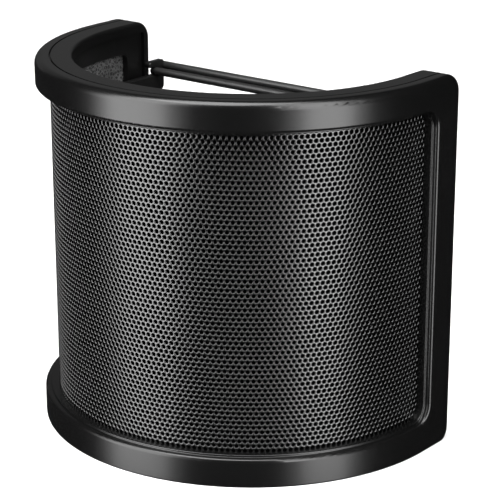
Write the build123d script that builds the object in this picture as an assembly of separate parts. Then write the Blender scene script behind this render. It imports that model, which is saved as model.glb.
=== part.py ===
from build123d import *
import os
import math

# Wrap-around pop filter for a studio microphone: a U-shaped shield that is closed at the front
# and open at the back, with a sliding carriage of two cross rods that clamps the microphone.
# Millimetres, +Z up, front of the shield towards -Y. The sub-parts are drawn about the upright
# axis of the round front, and moved back by AXIS_Y so that the origin is under the middle.

# ---- driving dimensions ----
OUTER_RADIUS = 59.0          # outer face of the round front
LEG_LENGTH = 13.5            # straight run of each leg behind the round front
HEIGHT = 103.0
INNER_RADIUS = 48.7          # face that the microphone leans on
PARTING_RADIUS = 55.1        # joint between the outer and the inner frame
LEG_CORNER_RADIUS = 5.0      # top and bottom corners of a leg, seen from the side
BASE_TRIM = 1.6              # the rounded outline is cut off flat this far up, which is the base

RAIL_HEIGHT = 7.9            # outer face of the top and the bottom band
LEG_BAR_WIDTH = 10.6         # upright bar that closes the window at the end of a leg
WINDOW_CORNER_RADIUS = 5.0
RIM_STEP_DEPTH = 1.6         # the window's rim goes down in one shallow step
RIM_STEP_WIDTH = 0.6
GRILLE_LAP = 3.8             # the layers reach this far behind the rim
LAYER_CORNER_RADIUS = 2.0

FRAME_GAP = 0.05             # between the two frames, on the radius
GROOVE_WIDTH = 0.5           # shadow groove along the parting line
GROOVE_DEPTH = 0.8
OUTER_EDGE_FILLET = 2.0
INNER_EDGE_FILLET = 1.0
RIM_FILLET = 0.9
RIM_LEDGE_FILLET = 0.25

GRILLE_THICKNESS = 0.7
ETAMINE_THICKNESS = 0.25
FOAM_THICKNESS = 2.4
LAYER_GAP = 0.05

INNER_RAIL_HEIGHT = 8.7      # border above and below the inner window
INNER_BAR_WIDTH = 8.6
INNER_WINDOW_CORNER = 2.0
RECESS_DEPTH = 1.15          # the inner face is sunk inside a raised lip
RECESS_TOP = 3.0             # height of the lip along the top
RECESS_BOTTOM = 6.0          # and along the bottom, where the screws are
RECESS_BAR = 2.4             # width of the lip at the end of a leg
RECESS_CORNER_RADIUS = 1.0

ROD_RADIUS = 1.15
FRONT_ROD_Y = 14.1
FRONT_ROD_Z = 87.9
REAR_ROD_Y = 18.2
REAR_ROD_Z = 89.0
ROD_HALF_LENGTH = 48.4
ROD_END_CHAMFER = 0.25
ROD_SEAT_CLEARANCE = 0.02

ARM_OUTER_X = 48.6           # face that runs along the leg
ARM_THICKNESS = 1.8
ARM_FRONT_Y = -1.0
ARM_REAR_Y = 17.8
ARM_BOTTOM_Z = 81.7
ARM_TOP_Z = 90.9
UPPER_JAW_FRONT_Y = 11.2
ARM_CORNER_RADIUS = 0.8
TONGUE_CORNER_RADIUS = 1.8
ARM_EDGE_CHAMFER = 0.3

RIB_CENTRE_Z = 84.2          # dovetail rib that guides the arm
RIB_DEPTH = 2.3
RIB_NECK = 2.4
RIB_FOOT = 3.6
RIB_ROOT = 0.2               # the rib starts this far inside the arm
RIB_FRONT_Y = 4.0
RIB_REAR_Y = 17.0
RIB_CLEARANCE = 0.08

PAD_LENGTH = 6.0             # friction pad behind the rib
PAD_HEIGHT = 2.2
PAD_THICKNESS = 0.8
PAD_CENTRE_Y = 9.6
PAD_CLEARANCE = 0.05

SCREW_ANGLES = (-66.0, -22.0, 22.0, 66.0)
SCREW_Z = 3.1
SCREW_LENGTH = 8.6
SCREW_RADIUS = 1.1
SCREW_HEAD_RADIUS = 2.0
SCREW_HEAD_HEIGHT = 1.1
SCREW_SOCKET_RADIUS = 0.75
SCREW_SOCKET_DEPTH = 0.7
SCREW_HOLE_CLEARANCE = 0.05

AXIS_Y = (OUTER_RADIUS - REAR_ROD_Y - ROD_RADIUS) / 2
REACH = 2 * OUTER_RADIUS     # long enough to cut right through the part
TOLERANCE = 0.02             # for picking edges and corners by where they are


def u_prism(radius, leg_end, low=0.0, high=HEIGHT):
    """Upright solid with the plan of a U filled in: half a disc and the straight legs behind it."""
    front = ThreePointArc((-radius, 0), (0, -radius), (radius, 0))
    outline = front + Polyline((radius, 0), (radius, leg_end), (-radius, leg_end), (-radius, 0))
    return Pos(0, 0, low) * extrude(make_face(outline), high - low)


def u_band(inner_radius, outer_radius, leg_end, low=0.0, high=HEIGHT):
    """Upright band of even thickness that follows the U."""
    return u_prism(outer_radius, leg_end, low, high) - u_prism(inner_radius, leg_end + 1, low, high)


def side_prism(rear_y, low, high, corner):
    """Solid along X with rounded rear corners, for cutting or trimming a band from the side."""
    side = RectangleRounded(2 * REACH, high - low, corner)
    centre = Vector(0, rear_y - REACH, (low + high) / 2)
    return Pos(centre) * extrude(Plane.YZ * side, REACH, both=True)


def envelope(inset=0.0):
    """Side outline shared by both frames, or the same outline drawn in by inset."""
    corner = LEG_CORNER_RADIUS - inset
    return side_prism(LEG_LENGTH - inset, inset - BASE_TRIM, HEIGHT - inset, corner)


def below(level):
    """Everything under a level, for cutting a flat base."""
    return Pos(0, 0, level - REACH / 2) * Box(2 * REACH, 2 * REACH, REACH)


def frame_band(inner_radius, outer_radius):
    """Plain body of a frame, before its edges are rounded and its base is cut."""
    return u_band(inner_radius, outer_radius, LEG_LENGTH, -BASE_TRIM) & envelope()


def window(rail, bar, corner):
    """Cutter for a window that wraps round the front between two rails and two leg bars."""
    return side_prism(LEG_LENGTH - bar, rail, HEIGHT - rail, corner)


def edges_at_radius(part, radius):
    """Edges that lie all along on the upright U of this radius."""
    found = []
    for edge in part.edges():
        points = [edge.position_at(share) for share in (0.0, 0.3, 0.5, 0.7, 1.0)]
        distances = [math.hypot(p.X, min(p.Y, 0.0)) for p in points]
        if all(abs(distance - radius) < TOLERANCE for distance in distances):
            found.append(edge)
    return found


def make_outer_frame():
    body = frame_band(PARTING_RADIUS, OUTER_RADIUS)
    body = fillet(edges_at_radius(body, OUTER_RADIUS), OUTER_EDGE_FILLET) - below(0)
    step = window(RAIL_HEIGHT, LEG_BAR_WIDTH, WINDOW_CORNER_RADIUS)
    body -= step - u_prism(OUTER_RADIUS - RIM_STEP_DEPTH, REACH)
    through = window(
        RAIL_HEIGHT + RIM_STEP_WIDTH,
        LEG_BAR_WIDTH + RIM_STEP_WIDTH,
        WINDOW_CORNER_RADIUS - RIM_STEP_WIDTH,
    )
    body -= through
    rim = [e for e in edges_at_radius(body, OUTER_RADIUS) if inside_frame_outline(e)]
    body = fillet(rim, RIM_FILLET)
    ledge = [e for e in edges_at_radius(body, OUTER_RADIUS - RIM_STEP_DEPTH) if on_window(e)]
    body = fillet(ledge, RIM_LEDGE_FILLET)
    for cutter in screw_cores(SCREW_RADIUS + SCREW_HOLE_CLEARANCE, SCREW_LENGTH + SCREW_HOLE_CLEARANCE):
        body -= cutter
    return body


def inside_frame_outline(edge):
    """True for an edge of the window, and not of the frame's own outline."""
    middle = edge.position_at(0.5)
    margin = OUTER_EDGE_FILLET + 1
    return margin < middle.Z < HEIGHT - margin and middle.Y < LEG_LENGTH - margin


def on_window(edge):
    """True for an edge of the window's inner opening."""
    middle = edge.position_at(0.5)
    rail = RAIL_HEIGHT + RIM_STEP_WIDTH
    return rail - TOLERANCE < middle.Z < HEIGHT - rail + TOLERANCE


def layer_space(lap):
    """Side outline of the grille and of the layers behind it, less or more than their lap."""
    rail = RAIL_HEIGHT + RIM_STEP_WIDTH - lap
    bar = LEG_BAR_WIDTH + RIM_STEP_WIDTH - lap
    return window(rail, bar, LAYER_CORNER_RADIUS)


def make_layer(outer_radius, thickness, lap=GRILLE_LAP):
    """One wrapped layer of the filter, between the two frames."""
    return u_band(outer_radius - thickness, outer_radius, LEG_LENGTH) & layer_space(lap)


def groove_cutter():
    """Leaves a shadow groove along the parting line on every outside face."""
    skin = u_band(PARTING_RADIUS - GROOVE_WIDTH, OUTER_RADIUS, REACH, -1, HEIGHT + 1)
    return skin - (envelope(GROOVE_DEPTH) - below(GROOVE_DEPTH))


def dovetail(clearance, front, rear):
    """Dovetail bar along Y on the outer face of the left arm, its neck at the face."""
    neck = RIB_NECK / 2 + clearance
    foot = RIB_FOOT / 2 + clearance
    depth = RIB_DEPTH + clearance
    section = Polyline((RIB_ROOT, neck), (-depth, foot), (-depth, -foot), (RIB_ROOT, -neck), close=True)
    bar = extrude(make_face(Plane.XZ * section), front - rear)
    return Pos(-ARM_OUTER_X, front, RIB_CENTRE_Z) * bar


def friction_pad(clearance=0.0):
    """Silicone pad in the floor of the left guide groove, or its pocket if a clearance is given."""
    depth = PAD_THICKNESS + clearance
    pad = Box(depth, PAD_LENGTH + 2 * clearance, PAD_HEIGHT + 2 * clearance)
    front_x = -ARM_OUTER_X - RIB_DEPTH - PAD_CLEARANCE
    return Pos(front_x - depth / 2, PAD_CENTRE_Y, RIB_CENTRE_Z) * pad


def both_sides(left):
    """A left-hand solid and its mirror image."""
    return left, mirror(left, Plane.YZ)


def recess():
    """Cutter that sinks the inner face inside its lip."""
    outline = side_prism(
        LEG_LENGTH - RECESS_BAR, RECESS_BOTTOM, HEIGHT - RECESS_TOP, RECESS_CORNER_RADIUS
    )
    return outline & u_prism(INNER_RADIUS + RECESS_DEPTH, REACH)


def make_inner_frame():
    body = frame_band(INNER_RADIUS, PARTING_RADIUS - FRAME_GAP)
    body = fillet(edges_at_radius(body, INNER_RADIUS), INNER_EDGE_FILLET) - below(0)
    body -= groove_cutter()
    body -= recess()
    shoulder = foam_inner_radius() - LAYER_GAP
    body -= layer_space(GRILLE_LAP + LAYER_GAP) & u_band(shoulder, OUTER_RADIUS, REACH, -1, HEIGHT + 1)
    body -= window(INNER_RAIL_HEIGHT, INNER_BAR_WIDTH, INNER_WINDOW_CORNER)
    groove = dovetail(RIB_CLEARANCE, LEG_LENGTH - INNER_BAR_WIDTH - 1, LEG_LENGTH + 1)
    for cutter in both_sides(groove) + both_sides(friction_pad(PAD_CLEARANCE)):
        body -= cutter
    for cutter in screw_cores(SCREW_RADIUS + SCREW_HOLE_CLEARANCE) + screw_heads(SCREW_HOLE_CLEARANCE):
        body -= cutter
    return body


def grille_outer_radius():
    return PARTING_RADIUS - LAYER_GAP


def etamine_outer_radius():
    return grille_outer_radius() - GRILLE_THICKNESS - LAYER_GAP


def foam_outer_radius():
    return etamine_outer_radius() - ETAMINE_THICKNESS - LAYER_GAP


def foam_inner_radius():
    return foam_outer_radius() - FOAM_THICKNESS


def on_screw_axes(shape):
    """Copies of a shape drawn along +X, one on each screw's axis round the front."""
    return [Pos(0, 0, SCREW_Z) * Rot(0, 0, angle - 90) * shape for angle in SCREW_ANGLES]


def screw_cores(radius, length=SCREW_LENGTH):
    core = Rot(0, 90, 0) * Cylinder(radius, length, align=(Align.CENTER, Align.CENTER, Align.MIN))
    return on_screw_axes(Pos(INNER_RADIUS, 0, 0) * core)


def screw_heads(clearance):
    """Conical heads, sunk level with the inner face."""
    cone = Cone(
        SCREW_HEAD_RADIUS + clearance,
        SCREW_RADIUS + clearance,
        SCREW_HEAD_HEIGHT,
        align=(Align.CENTER, Align.CENTER, Align.MIN),
    )
    return on_screw_axes(Pos(INNER_RADIUS, 0, 0) * Rot(0, 90, 0) * cone)


def make_frame_screws():
    """Four countersunk screws with hexagon sockets, through the bottom rail of the inner frame."""
    socket = extrude(RegularPolygon(SCREW_SOCKET_RADIUS, 6), SCREW_SOCKET_DEPTH)
    sockets = on_screw_axes(Pos(INNER_RADIUS, 0, 0) * Rot(0, 90, 0) * socket)
    screws = []
    for core, head, hole in zip(screw_cores(SCREW_RADIUS), screw_heads(0.0), sockets):
        screws.append(core + head - hole)
    return Compound(children=screws)


def arm_profile():
    """Side view of an arm: a long tongue, and a head that is notched for the two rods."""
    tongue_top = FRONT_ROD_Z - ROD_RADIUS
    jaw_bottom = FRONT_ROD_Z + ROD_RADIUS
    outline = Polyline(
        (ARM_FRONT_Y, ARM_BOTTOM_Z),
        (ARM_REAR_Y, ARM_BOTTOM_Z),
        (ARM_REAR_Y, ARM_TOP_Z),
        (UPPER_JAW_FRONT_Y, ARM_TOP_Z),
        (UPPER_JAW_FRONT_Y, jaw_bottom),
        (FRONT_ROD_Y, jaw_bottom),
        (FRONT_ROD_Y, tongue_top),
        (ARM_FRONT_Y, tongue_top),
        close=True,
    )
    face = fillet(make_face(outline).vertices().group_by(Axis.Y)[0], TONGUE_CORNER_RADIUS)
    upper_corners = [v for v in face.vertices() if v.Y > tongue_top - TOLERANCE]
    outside = [v for v in upper_corners if abs(v.X - FRONT_ROD_Y) > TOLERANCE]
    return fillet(outside, ARM_CORNER_RADIUS)


def rod_seats():
    """Cutters for the two seats that hold the rods: an open notch in front, half a round behind."""
    seat = Rot(0, 90, 0) * Cylinder(ROD_RADIUS + ROD_SEAT_CLEARANCE, 4 * ARM_THICKNESS)
    return Pos(0, FRONT_ROD_Y, FRONT_ROD_Z) * seat, Pos(0, REAR_ROD_Y, REAR_ROD_Z) * seat


def make_left_arm():
    plate = extrude(Plane.YZ * arm_profile(), ARM_THICKNESS)
    inner = plate.faces().sort_by(Axis.X)[-1]
    plate = chamfer(inner.outer_wire().edges(), ARM_EDGE_CHAMFER)
    for seat in rod_seats():
        plate -= seat
    return Pos(-ARM_OUTER_X, 0, 0) * plate + dovetail(0.0, RIB_FRONT_Y, RIB_REAR_Y)


def make_rod(y, z):
    rod = Rot(0, 90, 0) * Cylinder(ROD_RADIUS, 2 * ROD_HALF_LENGTH)
    return Pos(0, y, z) * chamfer(rod.edges().filter_by(GeomType.CIRCLE), ROD_END_CHAMFER)


def save(node, shape):
    export_step(Pos(0, AXIS_Y, 0) * shape, f"parts/{node}.step")


def main():
    os.makedirs("parts", exist_ok=True)
    save("outer_frame", make_outer_frame())
    save("inner_frame", make_inner_frame())
    save("front_grille", make_layer(grille_outer_radius(), GRILLE_THICKNESS))
    save("etamine_screen", make_layer(etamine_outer_radius(), ETAMINE_THICKNESS))
    save("foam_windscreen", make_layer(foam_outer_radius(), FOAM_THICKNESS))
    save("frame_screws", make_frame_screws())
    for side, arm in zip(("left", "right"), both_sides(make_left_arm())):
        save(f"{side}_arm", arm)
    for side, pad in zip(("left", "right"), both_sides(friction_pad())):
        save(f"{side}_friction_pad", pad)
    save("front_rod", make_rod(FRONT_ROD_Y, FRONT_ROD_Z))
    save("rear_rod", make_rod(REAR_ROD_Y, REAR_ROD_Z))


main()
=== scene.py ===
import math

import bpy
import numpy as np
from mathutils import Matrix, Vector, noise


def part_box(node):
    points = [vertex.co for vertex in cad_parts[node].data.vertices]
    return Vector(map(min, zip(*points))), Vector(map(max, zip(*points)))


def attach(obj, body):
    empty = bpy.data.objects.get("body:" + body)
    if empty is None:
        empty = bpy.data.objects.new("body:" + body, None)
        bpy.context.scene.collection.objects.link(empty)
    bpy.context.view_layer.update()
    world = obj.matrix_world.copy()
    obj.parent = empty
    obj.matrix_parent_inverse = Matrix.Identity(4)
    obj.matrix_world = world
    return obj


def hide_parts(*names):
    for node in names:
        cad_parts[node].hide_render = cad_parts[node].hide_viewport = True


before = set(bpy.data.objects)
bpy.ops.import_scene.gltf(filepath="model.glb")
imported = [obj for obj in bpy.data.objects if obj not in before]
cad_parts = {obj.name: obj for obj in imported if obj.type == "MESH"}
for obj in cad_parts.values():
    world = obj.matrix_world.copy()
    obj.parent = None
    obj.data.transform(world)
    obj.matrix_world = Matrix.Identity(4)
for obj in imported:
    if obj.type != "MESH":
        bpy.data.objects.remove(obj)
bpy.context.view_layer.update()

MM = 0.001

# ---- driving dimensions, from the frame ----
grille_low, grille_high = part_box("front_grille")
foam_low, foam_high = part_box("foam_windscreen")
etamine_low, etamine_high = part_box("etamine_screen")
frame_low, frame_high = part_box("outer_frame")

OUTER_RADIUS = (frame_high.x - frame_low.x) / 2
AXIS_Y = frame_low.y + OUTER_RADIUS    # the axis of the round front
LAYER_REAR_Y = grille_high.y
TARGET = Vector((0.0, AXIS_Y, frame_high.z / 2))

GRILLE_RADIUS = (grille_high.x - grille_low.x) / 2
GRILLE_THICKNESS = 0.7 * MM
ETAMINE_RADIUS = (etamine_high.x - etamine_low.x) / 2
ETAMINE_THICKNESS = 0.25 * MM
ETAMINE_GRID = 1.5 * MM
FOAM_RADIUS = (foam_high.x - foam_low.x) / 2
FOAM_THICKNESS = 2.4 * MM
FOAM_GRID = 0.6 * MM
CELLS_PER_M = 900.0            # open cells of the foam
PIT_DEPTH = 0.45 * MM
CELL_WALL = 0.5                # width of the rise between two cells, in cells

# ---- perforated sheet ----
HOLE_PITCH = 1.5 * MM
ROW_PITCH = HOLE_PITCH * math.sqrt(3) / 2
HOLE_RADIUS = 0.5 * MM
HOLE_CORNERS = 12
HOLE_PROFILE = ((0.67, 0.0), (0.585, 0.045), (0.52, 0.13), (0.50, 0.22))   # radius, depth in mm
SHEET_MARGIN = 1.3 * MM        # from the last row of holes to the sheet's edge
SHEET_MIDDLE = (grille_low.z + grille_high.z) / 2
HALF_SHEET = (grille_high.z - grille_low.z) / 2
ROWS = int((HALF_SHEET - SHEET_MARGIN) / ROW_PITCH)    # above and below the middle row
ROW_SHIFT = 0.25               # of a pitch, so that both kinds of row end equally far out
SAME_POINT = 0.01 * MM
PANELS = 8                     # the sheet's mesh comes in this many upright strips

# ---- finishes ----
PLASTIC_IOR = 1.5
COAT_IOR = 1.75
ROD_IOR = 1.6
GRAIN_HEIGHT = 0.02 * MM
WEAVE_HEIGHT = 0.1 * MM
CELL_HEIGHT = 0.2 * MM
SKIN_HEIGHT = 0.05 * MM

# ---- studio ----
FLOOR_SIZE = 6.0
ROOM_LEVEL = 0.02              # light of the room on the object; the camera sees plain white
FLOOR_FILL = 0.62
FILL_ANGLE = math.radians(120)
# name, azimuth and elevation in degrees, distance, width, height, radiance
SOFTBOXES = (
    ("left_softbox_wide", -23, 4, 0.95, 0.93, 1.15, 1.6),
    ("left_softbox", -23, 4, 0.9, 0.58, 1.09, 4.6),
    ("right_softbox_wide", 77, 4, 0.95, 0.76, 1.15, 1.5),
    ("right_softbox", 77, 4, 0.9, 0.42, 1.09, 5.0),
    ("left_softbox_high", -23, 50, 0.95, 0.58, 0.55, 6.0),
    ("right_softbox_high", 77, 50, 0.95, 0.42, 0.55, 6.5),
    ("top_softbox", -10, 80, 1.0, 0.7, 0.7, 8.0),
)
BACK_PANEL = ("back_panel", 232, 20, 1.2, 1.3, 0.7, 0.10)

# ---- camera ----
CAMERA_AZIMUTH = 38.1
CAMERA_ELEVATION = 17.9
CAMERA_DISTANCE = 0.535
CAMERA_TURN = math.radians(38.15)
CAMERA_TILT = math.radians(18.5)
CAMERA_SENSOR = 36.0
CAMERA_LENS = 137.0
CAMERA_NEAR = 0.01


# ---- materials ----
class Nodes:
    """A material's node tree with short helpers for adding and linking nodes."""

    def __init__(self, name):
        self.material = bpy.data.materials.new(name)
        self.material.use_nodes = True
        self.tree = self.material.node_tree
        self.shader = self.tree.nodes["Principled BSDF"]
        self.place = self.add("ShaderNodeTexCoord").outputs["Object"]

    def add(self, kind, **values):
        """A node whose sockets and settings take the given values."""
        node = self.tree.nodes.new(kind)
        for name, value in values.items():
            if name in node.inputs:
                node.inputs[name].default_value = value
            else:
                setattr(node, name, value)
        return node

    def link(self, output, target):
        self.tree.links.new(output, target)

    def put(self, **values):
        """Fills the shader's sockets; an underscore in a name stands for a space."""
        for name, value in values.items():
            socket = self.shader.inputs[name.replace("_", " ")]
            if isinstance(value, (int, float)):
                socket.default_value = value
            else:
                self.link(value, socket)

    def noise(self, scale, detail=3.0):
        node = self.add("ShaderNodeTexNoise", Scale=scale, Detail=detail, Roughness=0.55)
        self.link(self.place, node.inputs["Vector"])
        return node.outputs["Fac"]

    def ramp(self, fac, low, high, start=0.3, end=0.7):
        """Two grey levels blended by fac, which also serve as plain numbers."""
        node = self.add("ShaderNodeValToRGB")
        first, last = node.color_ramp.elements
        first.position, last.position = start, end
        first.color = (low, low, low, 1.0)
        last.color = (high, high, high, 1.0)
        self.link(fac, node.inputs["Fac"])
        return node.outputs["Color"]

    def bump(self, height, strength, distance):
        node = self.add("ShaderNodeBump", Strength=strength, Distance=distance)
        self.link(height, node.inputs["Height"])
        return node.outputs["Normal"]


def moulded_black(name, base, rough, grain):
    """Black moulded plastic: fine grain, and slow variations of its colour and gloss."""
    m = Nodes(name)
    slow = m.noise(45.0, 4.0)
    fine = m.noise(2600.0, 2.0)
    m.put(
        Base_Color=m.ramp(slow, base * 0.85, base * 1.2),
        Roughness=m.ramp(slow, rough * 0.93, rough * 1.07),
        Normal=m.bump(fine, grain, GRAIN_HEIGHT),
        IOR=PLASTIC_IOR,
    )
    return m.material


def coated_steel(name, base, rough):
    """Black powder-coated steel: slightly uneven coat with a fine orange peel."""
    m = Nodes(name)
    slow = m.noise(60.0)
    peel = m.noise(1500.0, 2.0)
    m.put(
        Base_Color=m.ramp(slow, base * 0.8, base * 1.25),
        Roughness=m.ramp(peel, rough * 0.85, rough * 1.15),
        Normal=m.bump(peel, 0.15, GRAIN_HEIGHT),
        IOR=COAT_IOR,
    )
    return m.material


def rod_steel(name):
    """Blackened drawn rod: fine lines along its length and a smooth sheen."""
    m = Nodes(name)
    stretch = m.add("ShaderNodeMapping", Scale=(20.0, 1600.0, 1600.0))
    m.link(m.place, stretch.inputs["Vector"])
    node = m.add("ShaderNodeTexNoise", Scale=1.0, Detail=2.0)
    m.link(stretch.outputs["Vector"], node.inputs["Vector"])
    lines = node.outputs["Fac"]
    m.put(
        Base_Color=m.ramp(lines, 0.008, 0.014),
        Roughness=m.ramp(lines, 0.30, 0.42),
        Normal=m.bump(lines, 0.1, GRAIN_HEIGHT),
        IOR=ROD_IOR,
    )
    return m.material


def woven_screen(name):
    """Etamine: a fine plain weave, two crossed waves about a third of a millimetre apart."""
    m = Nodes(name)
    cross = m.add("ShaderNodeMath", operation="MULTIPLY")
    for socket, direction in enumerate(("X", "Z")):
        wave = m.add("ShaderNodeTexWave", bands_direction=direction, Scale=1000.0, Distortion=0.6)
        m.link(m.place, wave.inputs["Vector"])
        m.link(wave.outputs["Fac"], cross.inputs[socket])
    weave = cross.outputs["Value"]
    m.put(
        Base_Color=m.ramp(weave, 0.0004, 0.003),
        Normal=m.bump(weave, 0.5, WEAVE_HEIGHT),
        Roughness=0.9,
        Specular_IOR_Level=0.05,
    )
    return m.material


def open_cell_foam(name):
    """Foam: paler struts, and the cell hollows painted dark as painted shade."""
    m = Nodes(name)
    cells = m.add("ShaderNodeTexVoronoi", feature="DISTANCE_TO_EDGE", Scale=950.0)
    m.link(m.place, cells.inputs["Vector"])
    patches = m.noise(220.0)
    mixed = m.add("ShaderNodeMix", data_type="RGBA", blend_type="MULTIPLY", Factor=1.0)
    first, second = mixed.inputs[6], mixed.inputs[7]     # its two colours, as names are shared by kinds
    # painted shade: the colour falls from pale at the struts to dark in the middle of each cell, for
    # shade in the cell hollows
    m.link(m.ramp(cells.outputs["Distance"], 0.10, 0.012, 0.02, 0.22), first)
    m.link(m.ramp(patches, 0.45, 1.0), second)
    m.put(
        Base_Color=mixed.outputs[2],
        Normal=m.bump(cells.outputs["Distance"], 0.6, CELL_HEIGHT),
        Roughness=0.85,
    )
    return m.material


def silicone(name):
    """Dull silicone rubber with a dusty, faintly mottled skin."""
    m = Nodes(name)
    slow = m.noise(900.0)
    m.put(
        Base_Color=m.ramp(slow, 0.03, 0.06),
        Roughness=m.ramp(slow, 0.6, 0.75),
        Normal=m.bump(slow, 0.3, SKIN_HEIGHT),
    )
    return m.material


# ---- the U-shaped path that every layer follows ----
def path_length(radius):
    """Half of the path's length, from the middle of the front to the end of a leg."""
    return math.pi / 2 * radius + LAYER_REAR_Y - AXIS_Y


def placed(along, depth, z, radius):
    """Points at a place along the path, from left to right, a depth inside it and a height."""
    along, depth = np.asarray(along), np.asarray(depth)
    quarter = math.pi / 2 * radius
    angle = np.clip(along, -quarter, quarter) / radius
    leg = np.abs(along) - np.minimum(np.abs(along), quarter)
    x = (radius - depth) * np.sin(angle)
    y = AXIS_Y - (radius - depth) * np.cos(angle) + leg
    return np.stack([x, y, np.broadcast_to(z, x.shape)], axis=-1)


def mesh_piece(name, points, faces, material):
    mesh = bpy.data.meshes.new(name)
    mesh.from_pydata(points.tolist(), [], faces.tolist())
    mesh.materials.append(material)
    mesh.shade_smooth()
    return in_scene(bpy.data.objects.new(name, mesh))


def in_scene(thing):
    bpy.context.scene.collection.objects.link(thing)
    return thing


def finish_piece(piece, body, slot, *nodes):
    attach(piece, body)
    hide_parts(*nodes)


# ---- grille ----
def ring(reach):
    """Points round a hole's centre, as offsets along the path and up."""
    angles = np.radians(np.arange(HOLE_CORNERS) * (360 / HOLE_CORNERS))
    return reach * np.cos(angles), reach * np.sin(angles)


def cell_ring():
    """The six-sided cell round a hole: its corners, and the middles of its sides."""
    even = np.arange(HOLE_CORNERS) % 2 == 0
    return ring(np.where(even, HOLE_PITCH / 2, HOLE_PITCH / math.sqrt(3)))


def hole_centres():
    """Staggered rows of holes: their places along the path and up, and each one's panel."""
    half_length = path_length(GRILLE_RADIUS) - SHEET_MARGIN - HOLE_PITCH / 2
    columns = int(half_length / HOLE_PITCH)
    along, up, panel = [], [], []
    for row in range(-ROWS, ROWS + 1):
        shift = 0.5 * (row % 2)
        for column in range(-columns, columns + 1):
            along.append((column + shift - ROW_SHIFT) * HOLE_PITCH)
            up.append(SHEET_MIDDLE + row * ROW_PITCH)
            panel.append(int((column + columns) * PANELS / (2 * columns + 1)))
    return np.array(along), np.array(up), np.array(panel)


def pull_to_edges(along, up):
    """Moves the furthest corners to the sheet's edges; at its ends every other row stops short."""
    beyond = np.abs(up - SHEET_MIDDLE) > ROWS * ROW_PITCH + 0.4 * HOLE_RADIUS
    up = np.where(beyond, np.where(up > SHEET_MIDDLE, grille_high.z, grille_low.z), up)
    end = path_length(GRILLE_RADIUS)
    columns = int((end - SHEET_MARGIN - HOLE_PITCH / 2) / HOLE_PITCH)
    last = (columns + ROW_SHIFT + 0.19) * HOLE_PITCH     # just past the last hole's centre
    along = np.where(along > last, end, np.where(along < -last, -end, along))
    return along, up


def ring_faces(outer, inner):
    """Quads between two rings, one pair of rows per hole."""
    after = np.roll(np.arange(HOLE_CORNERS), -1)
    quads = np.stack([outer, outer[:, after], inner[:, after], inner], axis=-1)
    return quads.reshape(-1, 4)


def shared_corners(along, up):
    """Cell corners that round to the same point: the first of each, and every corner's number."""
    keys = np.round(np.stack([along, up], -1).reshape(-1, 2) / SAME_POINT).astype(int)
    _, first, number = np.unique(keys, axis=0, return_index=True, return_inverse=True)
    return first, number.reshape(along.shape)


def open_edges(corner):
    """Edges of the cells that no other cell has, going by their corners' numbers."""
    edges = np.stack([corner, np.roll(corner, -1, axis=1)], -1).reshape(-1, 2).tolist()
    seen = {tuple(edge) for edge in edges}
    return np.array([edge for edge in edges if (edge[1], edge[0]) not in seen])


def grille_panel(centre_along, centre_up, material, number):
    """One upright strip of the perforated sheet, with every hole cut through and its edge rolled over."""
    cells = len(centre_along)
    centre_along, centre_up = centre_along[:, None], centre_up[:, None]
    cell_along, cell_up = cell_ring()
    along, up = centre_along + cell_along, centre_up + cell_up
    first, corner = shared_corners(along, up)
    edge_along, edge_up = pull_to_edges(along.reshape(-1)[first], up.reshape(-1)[first])
    front = placed(edge_along, 0.0, edge_up, GRILLE_RADIUS)
    back = placed(edge_along, GRILLE_THICKNESS, edge_up, GRILLE_RADIUS)

    points, rings = [front, back], []
    count = 2 * len(first)
    levels = [(radius * MM, depth * MM) for radius, depth in HOLE_PROFILE]
    for radius, depth in levels + [(HOLE_RADIUS, GRILLE_THICKNESS)]:
        ring_along, ring_up = ring(radius)
        ring_along = (centre_along + ring_along).reshape(-1)
        ring_up = (centre_up + ring_up).reshape(-1)
        points.append(placed(ring_along, depth, ring_up, GRILLE_RADIUS))
        rings.append(count + np.arange(cells * HOLE_CORNERS).reshape(cells, HOLE_CORNERS))
        count += cells * HOLE_CORNERS
    faces = [ring_faces(corner, rings[0])]
    faces += [ring_faces(a, b) for a, b in zip(rings, rings[1:])]
    faces.append(ring_faces(rings[-1], corner + len(first)))

    # side walls along every open edge, with corners of their own so that the faces stay flat
    a, b = open_edges(corner).T
    points.append(np.stack([front[b], front[a], back[a], back[b]], 1).reshape(-1, 3))
    faces.append(count + np.arange(len(a) * 4).reshape(-1, 4))
    name = f"front_grille_{number}"
    piece = mesh_piece(name, np.concatenate(points), np.concatenate(faces), material)
    finish_piece(piece, "shield", "grille_steel", "front_grille")


def make_grille():
    material = coated_steel("grille_coat", 0.002, 0.10)
    along, up, panel = hole_centres()
    for number in range(PANELS):
        mine = panel == number
        grille_panel(along[mine], up[mine], material, number + 1)


# ---- wrapped layers ----
def grid_faces(rows, columns, start=0, flip=False):
    index = start + np.arange(rows * columns).reshape(rows, columns)
    a, b = index[:-1, :-1], index[:-1, 1:]
    c, d = index[1:, 1:], index[1:, :-1]
    order = (a, d, c, b) if flip else (a, b, c, d)
    return np.stack(order, -1).reshape(-1, 4)


def wrapped_slab(name, radius, thickness, low, high, step, material, pits):
    """A closed layer on the path: a plain front, a back pitted by a function, and a rim."""
    half = path_length(radius)
    columns = int(2 * half / step) + 1
    rows = int((high - low) / step) + 1
    along, up = np.meshgrid(np.linspace(-half, half, columns), np.linspace(low, high, rows))
    front = placed(along, 0.0, up, radius)
    back = placed(along, thickness - pits(along, up), up, radius)
    points = [front.reshape(-1, 3), back.reshape(-1, 3)]
    count = rows * columns
    faces = [grid_faces(rows, columns), grid_faces(rows, columns, count, flip=True)]
    count *= 2
    rims = (
        (front[0], back[0]),
        (back[-1], front[-1]),
        (back[:, 0], front[:, 0]),
        (front[:, -1], back[:, -1]),
    )
    for one, other in rims:
        points.append(np.stack([other, one]).reshape(-1, 3))
        faces.append(grid_faces(2, len(one), count))
        count += 2 * len(one)
    return mesh_piece(name, np.concatenate(points), np.concatenate(faces), material)


def no_pits(along, up):
    return np.zeros_like(along)


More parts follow.
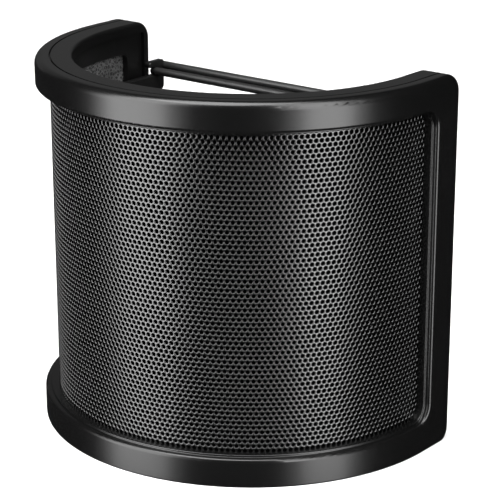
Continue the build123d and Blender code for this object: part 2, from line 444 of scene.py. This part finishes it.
def foam_pits(along, up):
    """Depth of the open cells on the inside face of the foam."""
    depths = []
    for x, z in zip(along.ravel(), up.ravel()):
        nearest = noise.voronoi(Vector((x * CELLS_PER_M, z * CELLS_PER_M, 0.0)))[0]
        depths.append(min(nearest[1] - nearest[0], CELL_WALL) / CELL_WALL * PIT_DEPTH)
    return np.array(depths).reshape(along.shape)


def make_etamine():
    piece = wrapped_slab(
        "etamine_cloth",
        ETAMINE_RADIUS,
        ETAMINE_THICKNESS,
        etamine_low.z,
        etamine_high.z,
        ETAMINE_GRID,
        woven_screen("etamine_weave"),
        no_pits,
    )
    finish_piece(piece, "shield", "etamine", "etamine_screen")


def make_foam():
    piece = wrapped_slab(
        "foam_layer",
        FOAM_RADIUS,
        FOAM_THICKNESS,
        foam_low.z,
        foam_high.z,
        FOAM_GRID,
        open_cell_foam("foam_cells"),
        foam_pits,
    )
    finish_piece(piece, "shield", "foam", "foam_windscreen")


# ---- CAD parts keep their shape and get their finish ----
def dress(node, material):
    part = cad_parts[node]
    part.data.materials.clear()
    part.data.materials.append(material)


def dress_cad_parts():
    dress("outer_frame", moulded_black("outer_gloss", 0.002, 0.24, 0.15))
    dress("inner_frame", moulded_black("inner_satin", 0.0025, 0.30, 0.3))
    arm = moulded_black("arm_satin", 0.004, 0.36, 0.3)
    rod = rod_steel("rod_black")
    pad = silicone("pad_silicone")
    for side in ("left", "right"):
        dress(f"{side}_arm", arm)
        dress(f"{side}_friction_pad", pad)
    for row in ("front", "rear"):
        dress(f"{row}_rod", rod)
    dress("frame_screws", coated_steel("screw_black", 0.02, 0.35))


# ---- studio ----
def make_floor():
    corners = [(-FLOOR_SIZE, -FLOOR_SIZE, 0), (FLOOR_SIZE, -FLOOR_SIZE, 0)]
    corners += [(FLOOR_SIZE, FLOOR_SIZE, 0), (-FLOOR_SIZE, FLOOR_SIZE, 0)]
    mesh = bpy.data.meshes.new("floor")
    mesh.from_pydata(corners, [], [(0, 1, 2, 3)])
    m = Nodes("floor_paper")
    m.put(Base_Color=m.ramp(m.noise(3.0), 0.90, 0.93), Roughness=0.9, Specular_IOR_Level=0.0)
    mesh.materials.append(m.material)
    floor = in_scene(bpy.data.objects.new("floor", mesh))
    floor.visible_glossy = False
    floor.visible_shadow = False


def make_world():
    """White to the eye, and a dim even studio to everything else."""
    world = bpy.data.worlds.new("studio")
    world.use_nodes = True
    tree = world.node_tree
    tree.nodes.clear()
    output = tree.nodes.new("ShaderNodeOutputWorld")
    seen = tree.nodes.new("ShaderNodeLightPath")
    mix = tree.nodes.new("ShaderNodeMixShader")
    for socket, level in ((1, ROOM_LEVEL), (2, 1.0)):
        background = tree.nodes.new("ShaderNodeBackground")
        background.inputs["Color"].default_value = (1, 1, 1, 1)
        background.inputs["Strength"].default_value = level
        tree.links.new(background.outputs[0], mix.inputs[socket])
    tree.links.new(seen.outputs["Is Camera Ray"], mix.inputs[0])
    tree.links.new(mix.outputs[0], output.inputs[0])
    bpy.context.scene.world = world


def direction(azimuth, elevation):
    """From the object's middle outwards, in degrees; azimuth 0 is in front, 90 to the right."""
    a, e = math.radians(azimuth), math.radians(elevation)
    return Vector((math.sin(a) * math.cos(e), -math.cos(a) * math.cos(e), math.sin(e)))


def softbox(name, azimuth, elevation, distance, width, height, radiance):
    away = direction(azimuth, elevation)
    data = bpy.data.lights.new(name, "AREA")
    data.shape = "RECTANGLE"
    data.size = width
    data.size_y = height
    data.energy = radiance * math.pi * width * height
    light = in_scene(bpy.data.objects.new(name, data))
    light.location = TARGET + away * distance
    light.rotation_euler = away.to_track_quat("Z", "Y").to_euler()
    light.visible_camera = False
    return light


def make_lights():
    """Tall softboxes left and right, each inside a dimmer, wider one, with more above them."""
    for values in SOFTBOXES:
        softbox(*values)
    softbox(*BACK_PANEL).visible_shadow = False
    fill = bpy.data.lights.new("floor_fill", "SUN")
    fill.energy = FLOOR_FILL
    fill.angle = FILL_ANGLE
    in_scene(bpy.data.objects.new("floor_fill", fill)).visible_glossy = False


def make_camera():
    data = bpy.data.cameras.new("camera")
    data.sensor_width = CAMERA_SENSOR
    data.lens = CAMERA_LENS
    data.clip_start = CAMERA_NEAR
    camera = in_scene(bpy.data.objects.new("camera", data))
    camera.location = TARGET + direction(CAMERA_AZIMUTH, CAMERA_ELEVATION) * CAMERA_DISTANCE
    camera.rotation_euler = (math.pi / 2 - CAMERA_TILT, 0.0, CAMERA_TURN)
    bpy.context.scene.camera = camera


bpy.context.scene.view_settings.view_transform = "Standard"
dress_cad_parts()
make_grille()
make_foam()
make_etamine()
make_floor()
make_world()
make_lights()
make_camera()
